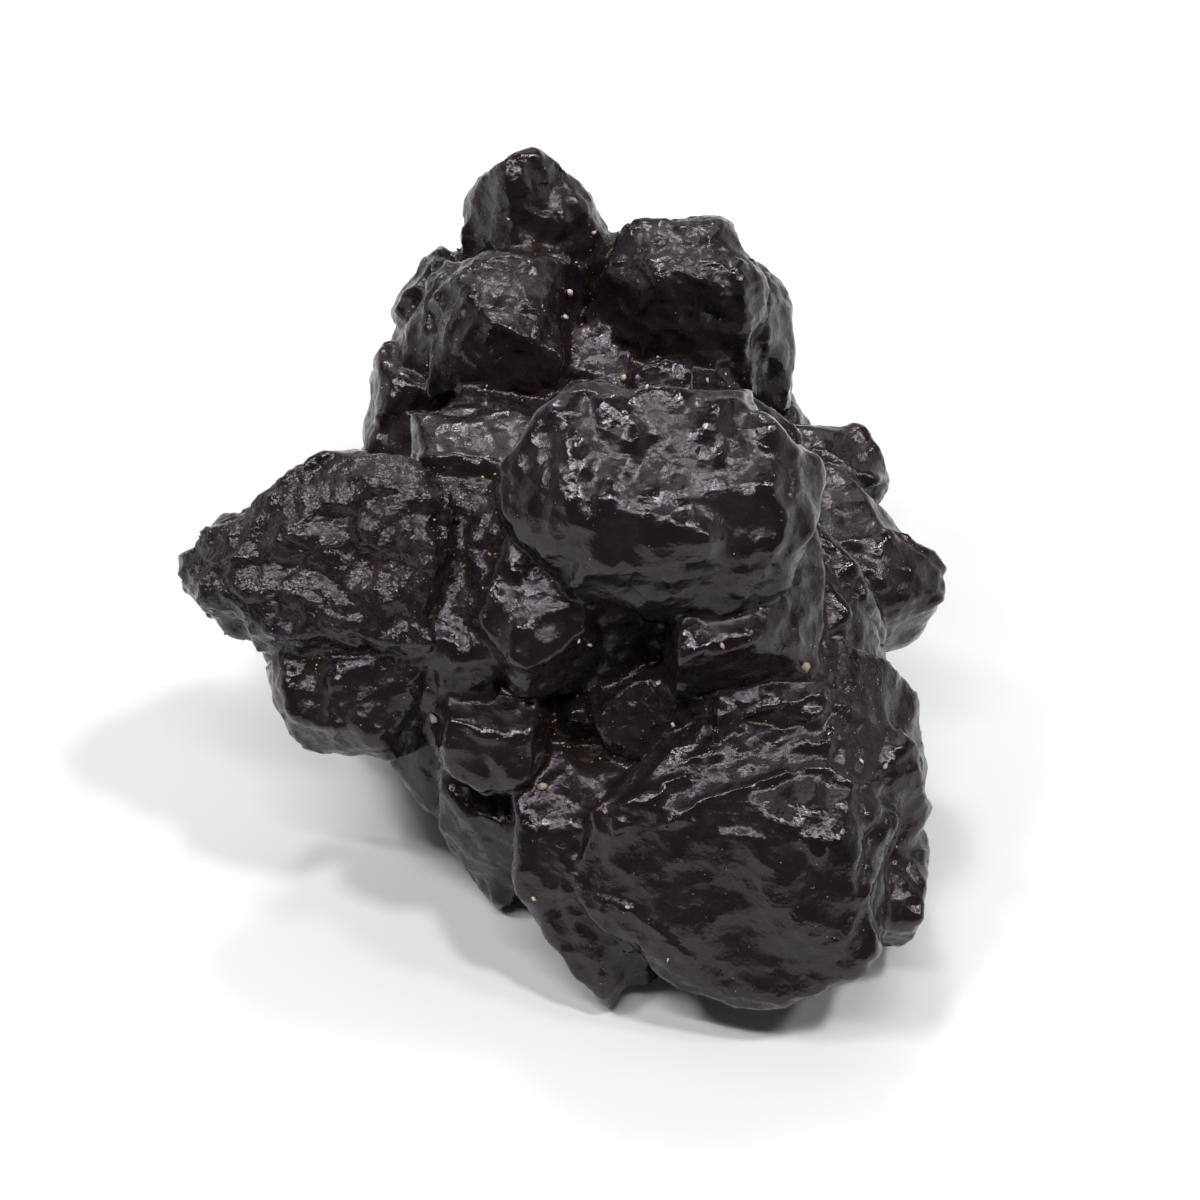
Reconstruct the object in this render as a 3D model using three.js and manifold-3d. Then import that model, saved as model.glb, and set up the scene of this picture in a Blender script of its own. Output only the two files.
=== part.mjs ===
// A goethite pseudomorph: one natural cluster of blocky and spear-shaped crystals that radiate from a common core.
// Millimetres, +Z up. The cluster stands on z = 0 and its front, the side with the large blocks, faces -Y.
import * as THREE from "three";
import { mergeVertices } from "three/addons/utils/BufferGeometryUtils.js";
import Module from "manifold-3d";

// Driving dimensions
const SHIFT = [1.77, -4.76, 0.2]; // centres the cluster on the origin and sets its lowest points 1 mm under z = 0
const EDGE_SHARPNESS = 46; // higher makes the crystals' edges crisper
const LUMP_HEIGHT = 0.16; // soft swellings of the faces
const LEDGE_HEIGHT = 0.24; // growth steps across the faces
const LEDGE_LEVELS = 1.6; // how many steps a swelling is cut into
const PLAIN_DETAIL = 2; // how finely a crystal is meshed where it doesn't say
const STONE = { color: 0x17110f, roughness: 0.38, metalness: 0.1 };

// Each crystal has its centre, the way its long axis points (azimuth from the front towards +X, then elevation, in
// degrees), its roll about that axis, and its half lengths across, across and along. It takes the faces of its habit,
// and the faces of its own, each an azimuth, an elevation and a distance from the centre.
const CRYSTALS = [
  { name: "core", at: [0, 4.5, 12.6], points: [0, 90], roll: 0, half: [9.0, 9.5, 8.6], habit: "block" },
  { name: "heart", at: [0.6, -3.6, 9.6], points: [0, 90], roll: 0, half: [4.2, 2.8, 3.6], habit: "block" },
  {
    name: "frontLeftBlock", at: [-1.3, -1.2, 23.2], points: [0, 20], roll: 0, half: [4.0, 4.8, 5.0], detail: 3,
    faces: [[-4, -8, 4.9], [-40, 8, 4.4], [-45, 42, 4.4], [-15, 64, 5.0], [36, 50, 4.7], [-88, 5, 3.7], [-118, 27, 3.5],
      [150, 44, 5.5], [180, 48, 5.6], [-54, -33, 3.7], [-25, -46, 4.7], [0, -52, 5.6], [90, 0, 5.2], [180, 0, 5.5]],
  },
  {
    name: "frontMiddleBlock", at: [2.4, -2.0, 23.0], points: [0, 20], roll: 0, half: [4.0, 4.8, 5.0], detail: 3,
    faces: [[2, -8, 5.0], [-6, 32, 5.1], [-8, 60, 4.7], [40, 46, 4.9], [-80, 10, 4.4], [180, 48, 5.3], [-21, -46, 5.6],
      [20, -46, 5.6], [80, 0, 4.4], [180, 0, 5.5]],
  },
  {
    name: "frontRightBlock", at: [6.6, -1.8, 22.6], points: [0, 15], roll: 0, half: [4.4, 5.2, 5.2], detail: 4,
    faces: [[10, -8, 4.6], [6, 34, 4.5], [10, 62, 4.4], [46, -2, 4.6], [60, 38, 4.1], [86, 5, 4.1], [78, -13, 3.8],
      [139, 40, 4.1], [180, 48, 5.4], [29, -44, 4.7], [-21, -46, 5.2], [-90, 0, 4.2], [180, 0, 6]],
  },
  {
    name: "bigBlock", at: [7.4, -9.8, 7.2], points: [-10, 0], roll: 10, half: [7.8, 6.8, 5.5], detail: 5,
    faces: [[-10, 20, 4.6], [-14, 69, 5.8], [-53, -34, 7.6], [40, -40, 7.8], [75, 4, 7.0], [-123, 31, 6.9], [-70, 20, 8.6],
      [55, 48, 7.1], [180, 0, 6.5], [-10, -30, 8.3], [0, -85, 5.0]],
  },
  {
    name: "bigBlockRim", at: [10.6, -6.6, 7.6], points: [80, 0], roll: 10, half: [6, 6, 6], detail: 3,
    faces: [[90, 0, 6.2], [108, 19, 5.9], [127, 34, 6.2], [20, 72, 5.4], [77, -15, 6.4], [50, -38, 5.4], [30, 10, 4.6],
      [-10, 0, 4.8], [-90, 0, 5], [180, 0, 6], [0, -80, 5.4]],
  },
  {
    name: "bigBlockCrown", at: [8.0, -4.8, 12.6], points: [-10, 30], roll: 0, half: [4.8, 3.8, 3.6],
    faces: [[-18, 8, 3.4], [-17, 48, 3.8], [-10, 80, 3.1], [-85, 20, 4.6], [75, 20, 4.8], [40, 45, 4.5], [180, 0, 4],
      [0, -80, 4]],
  },
  {
    name: "bigBlockHeel", at: [12.7, -8.4, 3.7], points: [80, -30], roll: 20, half: [3.6, 3.6, 3.8],
    faces: [[82, -8, 3.5], [50, -45, 3.8], [0, -25, 3.6], [110, 40, 4], [0, -90, 4.1], [180, -20, 3.6], [-80, -20, 4],
      [30, 50, 4.4]],
  },
  {
    name: "leftSpear", at: [-12.8, 0.6, 16.7], points: [-94, -3], roll: 45, half: [4.9, 4.9, 9.2], detail: 4,
    faces: [[-42, 46, 5.2], [-40, -28, 5.8], [-136, 40, 5.0], [-140, -35, 5.2], [-92, -6, 9.2], [-20, 62, 4.8],
      [-12, 35, 4.5], [-8, -28, 5.1], [-60, -38, 6.7], [170, 30, 4.8], [175, -35, 4.8], [-70, 12, 8.4],
      [70, 5, 6.2], [112, 22, 6.3]],
  },
  {
    name: "leftLowBlock", at: [-12.3, -2.6, 12.0], points: [-60, -10], roll: 20, half: [3.9, 3.6, 4.2], detail: 3,
    faces: [[-20, 42, 3.6], [-18, -12, 3.9], [-85, 0, 4.0], [-60, -46, 4.0], [30, 5, 4.6], [0, -70, 3.5], [180, 0, 5],
      [90, 0, 5.4], [-120, 40, 4.4]],
  },
  {
    name: "topBlock", at: [-3.6, 20.0, 22.4], points: [170, 45], roll: 20, half: [4, 4, 4.4], detail: 3,
    faces: [[-42, 12, 4.1], [42, 28, 4.0], [-92, 0, 3.9], [-116, 26, 4.0], [112, 22, 3.8], [175, 47, 4.4], [-150, 42, 4.2],
      [150, 40, 4.3], [0, -60, 5], [180, -10, 4.8]],
  },
  {
    name: "upperLeftBlock", at: [-4.9, 13.0, 22.2], points: [-5, 10], roll: 4, half: [3.9, 3.9, 3.9], detail: 3,
    faces: [[-8, 8, 3.7], [-10, 68, 3.7], [180, 48, 3.9], [-62, 32, 3.8], [-90, 0, 3.9], [-116, 30, 3.9], [80, 8, 3.6],
      [58, 42, 3.9], [0, -48, 3.9], [180, 0, 4]],
  },
  {
    name: "upperLeftPlate", at: [-6.4, 14.3, 20.4], points: [-5, 10], roll: 4, half: [4, 4.2, 3.8],
    faces: [[-10, 10, 3.5], [-90, 0, 3.9], [-113, 24, 3.9], [180, 48, 3.9], [-60, 40, 3.9], [0, 70, 3.5], [80, 10, 4],
      [0, -48, 3.6], [180, 0, 3]],
  },
  {
    name: "upperRightBlock", at: [4.1, 14.4, 22.4], points: [5, 8], roll: 0, half: [4.6, 4.8, 4.2], detail: 3,
    faces: [[4, 2, 3.3], [0, 78, 5.1], [-105, 16, 4.4], [-50, 14, 4.1], [88, -5, 4.5], [105, 17, 4.5], [180, 48, 4.6],
      [62, 55, 5.0], [0, -55, 5.0], [60, 0, 4.6], [-40, 58, 5.0], [180, -20, 4.2]],
  },
  {
    name: "upperRightBack", at: [7.2, 16.2, 19.6], points: [90, 5], roll: 0, half: [3.6, 4.2, 3.2],
    faces: [[90, 0, 3.1], [124, 31, 3.5], [180, 48, 3.9], [0, -48, 4.4], [20, 5, 3.5], [62, 18, 3.3], [0, 75, 3.7],
      [-90, 0, 4], [180, 0, 3.4]],
  },
  { name: "leftBackHigh", at: [-8.1, 17.0, 20.6], points: [-105, 30], roll: 15, half: [2.2, 2.4, 2.3], habit: "block" },
  { name: "leftBackMiddle", at: [-8.8, 15.4, 18.6], points: [-95, 25], roll: 30, half: [2.3, 2.4, 2.4], habit: "block" },
  { name: "leftBackLow", at: [-9.5, 12.6, 17.4], points: [-85, 15], roll: 8, half: [2.6, 2.7, 2.6], habit: "block" },
  { name: "leftBackBase", at: [-9.2, 11.4, 15.0], points: [-95, 0], roll: 20, half: [3.0, 3.2, 3.1], habit: "block" },
  {
    name: "stepBlock", at: [-6.2, 4.2, 20.0], points: [-10, 10], roll: 0, half: [3.0, 2.6, 3.0],
    faces: [[-8, -4, 2.3], [-12, 36, 2.9], [-84, -8, 2.9], [-55, 45, 3.3], [0, -58, 3.4], [80, 0, 3.2], [180, 0, 3.0],
      [-10, 80, 2.5], [180, 45, 3.0]],
  },
  {
    name: "centreBlock", at: [-3.0, -4.0, 17.6], points: [0, 10], roll: 0, half: [3.2, 3.5, 3.4],
    faces: [[30, -14, 3.2], [-50, -12, 3.2], [-12, 50, 2.9], [-20, -56, 3.9], [80, 12, 3.3], [180, 0, 4], [-95, 25, 3.3],
      [20, -44, 4.2]],
  },
  {
    name: "innerLeftBlock", at: [-7.2, -2.6, 14.8], points: [-10, 5], roll: 5, half: [2.8, 3.6, 3.2],
    faces: [[-12, 5, 3.2], [-10, 60, 3.4], [-80, 0, 2.7], [75, 0, 2.8], [0, -60, 3.6], [180, 0, 4]],
  },
  {
    name: "rightInnerBlock", at: [7.2, -3.6, 16.8], points: [20, 0], roll: 0, half: [3.6, 3.2, 3.6],
    faces: [[10, -10, 3.4], [58, 32, 3.2], [95, -10, 3.6], [10, -60, 3.0], [0, 70, 3.6], [-80, 0, 4.2], [180, 0, 4]],
  },
  {
    name: "rightBackBlock", at: [12.2, 11.4, 13.8], points: [90, 0], roll: 10, half: [3, 2.7, 3.8],
    faces: [[90, 0, 3.4], [116, 26, 2.8], [180, 48, 2.5], [30, 66, 2.5], [25, 0, 2.9], [75, 42, 3.1], [0, -48, 2.6],
      [80, -36, 3.3], [180, 0, 3], [-90, 0, 5]],
  },
  {
    name: "rightSpear", at: [12.8, 5.0, 11.7], points: [90, -5], roll: 30, half: [3.8, 3.8, 5.0], detail: 3,
    faces: [[40, 40, 3.5], [36, -22, 3.6], [128, 34, 4.0], [82, -9, 5.3], [54, -33, 4.6], [100, 12, 5.2], [150, -30, 4],
      [0, 75, 3.9], [0, -85, 4.6], [-90, 0, 5]],
  },
  {
    name: "rightPlate", at: [9.8, 0.6, 13.4], points: [75, 5], roll: 10, half: [4.8, 4.8, 4.4],
    faces: [[117, 27, 3.9], [90, 0, 4.6], [84, -22, 5.7], [45, 12, 4.0], [20, 60, 4.2], [0, -10, 4.6], [60, -56, 5.4],
      [180, 0, 4.6], [-90, 0, 4]],
  },
  {
    name: "rightPlateFront", at: [9.2, -1.6, 13.2], points: [60, 5], roll: 10, half: [4.0, 4.2, 3.6],
    faces: [[104, 18, 3.6], [80, -12, 4.1], [40, 8, 3.4], [20, 62, 3.8], [60, -50, 4.6], [180, 0, 4], [-90, 0, 4]],
  },
  { name: "seamKnob", at: [2.6, -4.6, 12.2], points: [0, 25], roll: 20, half: [2.9, 2.3, 2.7], habit: "block" },
  {
    name: "lowSmallBlock", at: [-5.4, -6.2, 11.6], points: [-10, 0], roll: 0, half: [2.7, 2.6, 2.8],
    faces: [[-8, 22, 2.7], [-32, -40, 2.9], [30, -34, 3.1], [-80, 5, 2.6], [75, 5, 2.8], [0, -75, 2.9], [0, 80, 2.7],
      [180, 0, 3]],
  },
  {
    name: "lowerSpear", at: [-0.3, -9.6, 5.9], points: [10, -52], roll: 0, half: [3.6, 3.6, 6.8], detail: 4,
    faces: [[-61, -28, 4.3], [-72, -19, 3.8], [-90, 0, 3.9], [-14, 20, 3.0], [32, 8, 3.7], [78, -13, 5.2], [-15, -50, 7.8],
      [35, -46, 8.0], [0, 78, 4.4], [180, 0, 4], [180, -60, 4.6], [0, -88, 5.6]],
  },
  {
    name: "lowerLeftKnob", at: [-4.8, -4.4, 4.8], points: [-30, -60], roll: 0, half: [3.4, 3.6, 4.6],
    faces: [[-30, -8, 3.4], [-90, 0, 3.4], [-63, -26, 3.7], [0, -48, 5.7], [0, -88, 5.25], [40, -20, 3.8], [0, 60, 4.4],
      [180, 0, 4]],
  },
  {
    name: "leftUnderKnob", at: [-7.8, -0.6, 5.6], points: [-60, -50], roll: 0, half: [3.0, 3.2, 3.6],
    faces: [[-92, 0, 3.0], [-60, -28, 3.2], [-40, 8, 3.3], [0, -48, 3.9], [0, -88, 4.0], [60, -10, 4], [0, 60, 4],
      [180, 0, 4]],
  },
  { name: "topGapBlock", at: [-0.6, 11.8, 18.6], points: [0, 60], roll: 20, half: [2.8, 2.8, 3.0], habit: "block" },
  { name: "saddleKnob", at: [3.2, 9.2, 21.0], points: [0, 50], roll: 10, half: [1.7, 1.5, 1.6], habit: "block" },
  { name: "saddleBlockLeft", at: [0.4, 5.2, 19.4], points: [-20, 50], roll: 25, half: [2.9, 2.7, 3.0], habit: "block" },
  { name: "saddleBlockRight", at: [6.4, 5.4, 18.8], points: [60, 50], roll: 10, half: [3.0, 2.8, 3.1], habit: "block" },
  { name: "backTopBlock", at: [2.6, 19.4, 18.6], points: [170, 35], roll: 10, half: [3.2, 3.2, 3.6], habit: "block" },
  { name: "backSpear", at: [-2.4, 19.0, 14.0], points: [185, 5], roll: 40, half: [4.4, 4.4, 6.6], habit: "spear" },
  { name: "backLeftSpear", at: [-9.0, 15.0, 9.6], points: [-150, -8], roll: 45, half: [4.0, 4.0, 6.2], habit: "spear" },
  { name: "backRightBlock", at: [6.2, 15.6, 11.8], points: [150, 0], roll: 15, half: [4.0, 3.8, 4.4], habit: "block" },
  { name: "backLowBlock", at: [-2.4, 13.2, 5.0], points: [175, -40], roll: 25, half: [4.4, 4.2, 5.0], habit: "block" },
  { name: "backLowRight", at: [7.0, 9.6, 4.8], points: [140, -45], roll: 10, half: [4.0, 4.0, 4.8], habit: "block" },
  { name: "leftFoot", at: [-7.6, 7.4, 5.0], points: [-110, -45], roll: 30, half: [3.8, 3.8, 4.6], habit: "block" },
  { name: "rightFoot", at: [9.2, 2.0, 6.2], points: [80, -40], roll: 20, half: [3.6, 3.8, 4.4], habit: "block" },
];

// A habit is a list of faces: an outward normal and the face's distance from the centre of a crystal of half length 1.
const signs = [-1, 1];
const face = (x, y, z, distance) => ({ normal: new THREE.Vector3(x, y, z).normalize(), distance });
const cubeFaces = (distance) =>
  signs.flatMap((s) => [face(s, 0, 0, distance), face(0, s, 0, distance), face(0, 0, s, distance)]);
const cornerFaces = (distance) => signs.flatMap((a) => signs.flatMap((b) => signs.map((c) => face(a, b, c, distance))));
const spearFaces = (slope, distance) =>
  signs.flatMap((a) => signs.flatMap((c) => [face(a, 0, c * slope, distance), face(0, a, c * slope, distance)]));
const HABITS = {
  block: [...cubeFaces(1), ...cornerFaces(1.34)],
  spear: [...spearFaces(0.75, 0.8), ...cubeFaces(1.05)],
};

// The way from the centre of a unit crystal to its surface along a direction, with the faces rounded into each other.
function reach(direction, faces) {
  let sum = 0;
  for (const { normal, distance } of faces) {
    sum += Math.max(0, normal.dot(direction) / distance) ** EDGE_SHARPNESS;
  }
  return sum ** (-1 / EDGE_SHARPNESS);
}

// A smooth uneven value between -1 and 1 for a place in millimetres.
function swell({ x, y, z }, phase) {
  const a = Math.sin(0.95 * x + 1.6 * Math.sin(0.55 * y + phase));
  const b = Math.sin(1.05 * y + 1.6 * Math.sin(0.6 * z + 2 * phase));
  const c = Math.sin(0.9 * z + 1.6 * Math.sin(0.5 * x + 3 * phase));
  return (a + b + c) / 3;
}

// The same value as flat steps with soft risers.
function ledge(value) {
  const level = Math.floor(value);
  return level + THREE.MathUtils.smoothstep(value - level, 0.35, 0.65);
}

function heading(azimuth, elevation) {
  const [a, e] = [azimuth, elevation].map(THREE.MathUtils.degToRad);
  return new THREE.Vector3(Math.sin(a) * Math.cos(e), -Math.cos(a) * Math.cos(e), Math.sin(e));
}

// Right-handed axes of a crystal: across, across and along.
function crystalAxes({ points: [azimuth, elevation], roll }) {
  const along = heading(azimuth, elevation);
  const a = THREE.MathUtils.degToRad(azimuth);
  const across = new THREE.Vector3(Math.cos(a), Math.sin(a), 0);
  across.applyAxisAngle(along, THREE.MathUtils.degToRad(roll));
  return [across, along.clone().cross(across), along];
}

// The habit's faces and the crystal's own faces, in the frame where its half lengths are 1.
function crystalFaces({ half, habit, faces = [] }, axes) {
  const own = faces.map(([azimuth, elevation, distance]) => {
    const normal = heading(azimuth, elevation);
    return { normal: new THREE.Vector3(...axes.map((axis, i) => normal.dot(axis) * half[i])), distance };
  });
  return [...(HABITS[habit] ?? []), ...own];
}

function crystalMesh(crystal, index) {
  const axes = crystalAxes(crystal);
  const faces = crystalFaces(crystal, axes);
  const half = new THREE.Vector3(...crystal.half);
  const shape = new THREE.IcosahedronGeometry(1, crystal.detail ?? PLAIN_DETAIL);
  shape.deleteAttribute("normal");
  shape.deleteAttribute("uv");
  const geometry = mergeVertices(shape);
  const places = geometry.getAttribute("position");
  const place = new THREE.Vector3();
  for (let i = 0; i < places.count; i++) {
    place.fromBufferAttribute(places, i).normalize();
    place.multiplyScalar(reach(place, faces)).multiply(half);
    const height = swell(place, index);
    const relief = LUMP_HEIGHT * height + (LEDGE_HEIGHT * ledge(LEDGE_LEVELS * height)) / LEDGE_LEVELS;
    place.setLength(place.length() + relief);
    places.setXYZ(i, place.x, place.y, place.z);
  }
  geometry.applyMatrix4(new THREE.Matrix4().makeBasis(...axes));
  geometry.translate(...crystal.at.map((value, axis) => value + SHIFT[axis]));
  return geometry;
}

const wasm = await Module();
wasm.setup();

function solidOf(geometry) {
  return new wasm.Manifold(
    new wasm.Mesh({
      numProp: 3,
      vertProperties: geometry.getAttribute("position").array,
      triVerts: new Uint32Array(geometry.index.array),
    }),
  );
}

function geometryOf(solid) {
  const mesh = solid.getMesh();
  const geometry = new THREE.BufferGeometry();
  geometry.setAttribute("position", new THREE.BufferAttribute(mesh.vertProperties, 3));
  geometry.setIndex(new THREE.BufferAttribute(mesh.triVerts, 1));
  geometry.computeVertexNormals();
  return geometry;
}

// Everything below z = 0 is worn away, so the cluster stands on small flats.
function ground() {
  const block = new THREE.BoxGeometry(100, 100, 40);
  block.translate(0, 0, -20);
  block.deleteAttribute("normal");
  block.deleteAttribute("uv");
  return solidOf(mergeVertices(block));
}

const joined = CRYSTALS.map(crystalMesh).map(solidOf).reduce((whole, crystal) => whole.add(crystal));

// The stone has no hollows: of the joined crystals' skins only the outer one, round the largest volume, is kept.
const skins = joined.subtract(ground()).decompose();
const stone = skins.reduce((largest, skin) => (skin.volume() > largest.volume() ? skin : largest));
const cluster = new THREE.Mesh(geometryOf(stone), new THREE.MeshStandardMaterial(STONE));
cluster.name = "crystal_cluster";

const part = new THREE.Group();
part.add(cluster);
export default part;
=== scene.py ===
# The goethite pseudomorph of the photograph: a dark, glossy cluster of crystals with sand in its seams.
import math

import bmesh
import bpy
import numpy as np
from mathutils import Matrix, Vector
from mathutils.bvhtree import BVHTree


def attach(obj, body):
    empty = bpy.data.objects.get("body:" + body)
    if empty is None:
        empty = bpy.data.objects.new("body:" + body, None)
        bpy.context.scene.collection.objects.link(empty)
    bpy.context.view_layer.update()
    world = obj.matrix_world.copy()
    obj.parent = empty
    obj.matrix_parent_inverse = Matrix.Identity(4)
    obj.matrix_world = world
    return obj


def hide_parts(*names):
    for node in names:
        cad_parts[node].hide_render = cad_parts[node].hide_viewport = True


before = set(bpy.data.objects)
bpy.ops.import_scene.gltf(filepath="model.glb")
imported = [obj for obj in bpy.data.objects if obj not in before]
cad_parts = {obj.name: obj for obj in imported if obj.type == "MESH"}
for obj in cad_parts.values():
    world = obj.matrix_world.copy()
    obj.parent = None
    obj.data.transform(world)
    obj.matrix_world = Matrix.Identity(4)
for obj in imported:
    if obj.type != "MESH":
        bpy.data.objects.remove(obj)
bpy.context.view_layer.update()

# The crystals are drawn in millimetres round a common core, and moved by this to the part's frame.
drawingShift = np.array([1.77, -4.76, 0.2])
metresPerMm = 0.001

# The camera comes first, because the traced lines and the sand grains are placed through it.
cameraSetup = {
    "elevation": 42.0,      # degrees above the horizon, looking along +Y
    "distance": 160.0,      # mm from the target
    "target": (0.0, 0.0, 15.0),     # mm, in the crystals' own drawing
    "focalPx": 3200.0,      # for the 1200 px photograph
    "sensorMm": 36.0,
}
photoPx = 1200.0


# Where the camera stands in mm, the way from the stone to it, and the way up in the picture.
def cameraPlace():
    e = math.radians(cameraSetup["elevation"])
    target = np.array(cameraSetup["target"]) + drawingShift
    away = np.array([0.0, -math.cos(e), math.sin(e)])
    up = np.array([0.0, math.sin(e), math.cos(e)])
    return target + away * cameraSetup["distance"], away, up


def addCamera():
    place, away, _ = cameraPlace()
    data = bpy.data.cameras.new("studio_camera")
    data.sensor_width = cameraSetup["sensorMm"]
    data.lens = cameraSetup["focalPx"] / photoPx * cameraSetup["sensorMm"]
    data.clip_start = 0.005
    data.clip_end = 20
    camera = bpy.data.objects.new("studio_camera", data)
    camera.location = Vector(place * metresPerMm)
    camera.rotation_euler = Vector(away).to_track_quat("Z", "Y").to_euler()
    bpy.context.scene.collection.objects.link(camera)
    bpy.context.scene.camera = camera


# From the camera through a pixel of the 1200 px frame: start and direction in mm.
def pixelRay(x, y):
    place, away, up = cameraPlace()
    right = np.array([1.0, 0.0, 0.0])
    focal = cameraSetup["focalPx"]
    way = right * (x - photoPx / 2) / focal + up * (photoPx / 2 - y) / focal - away
    return place, way / np.linalg.norm(way)


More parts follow.
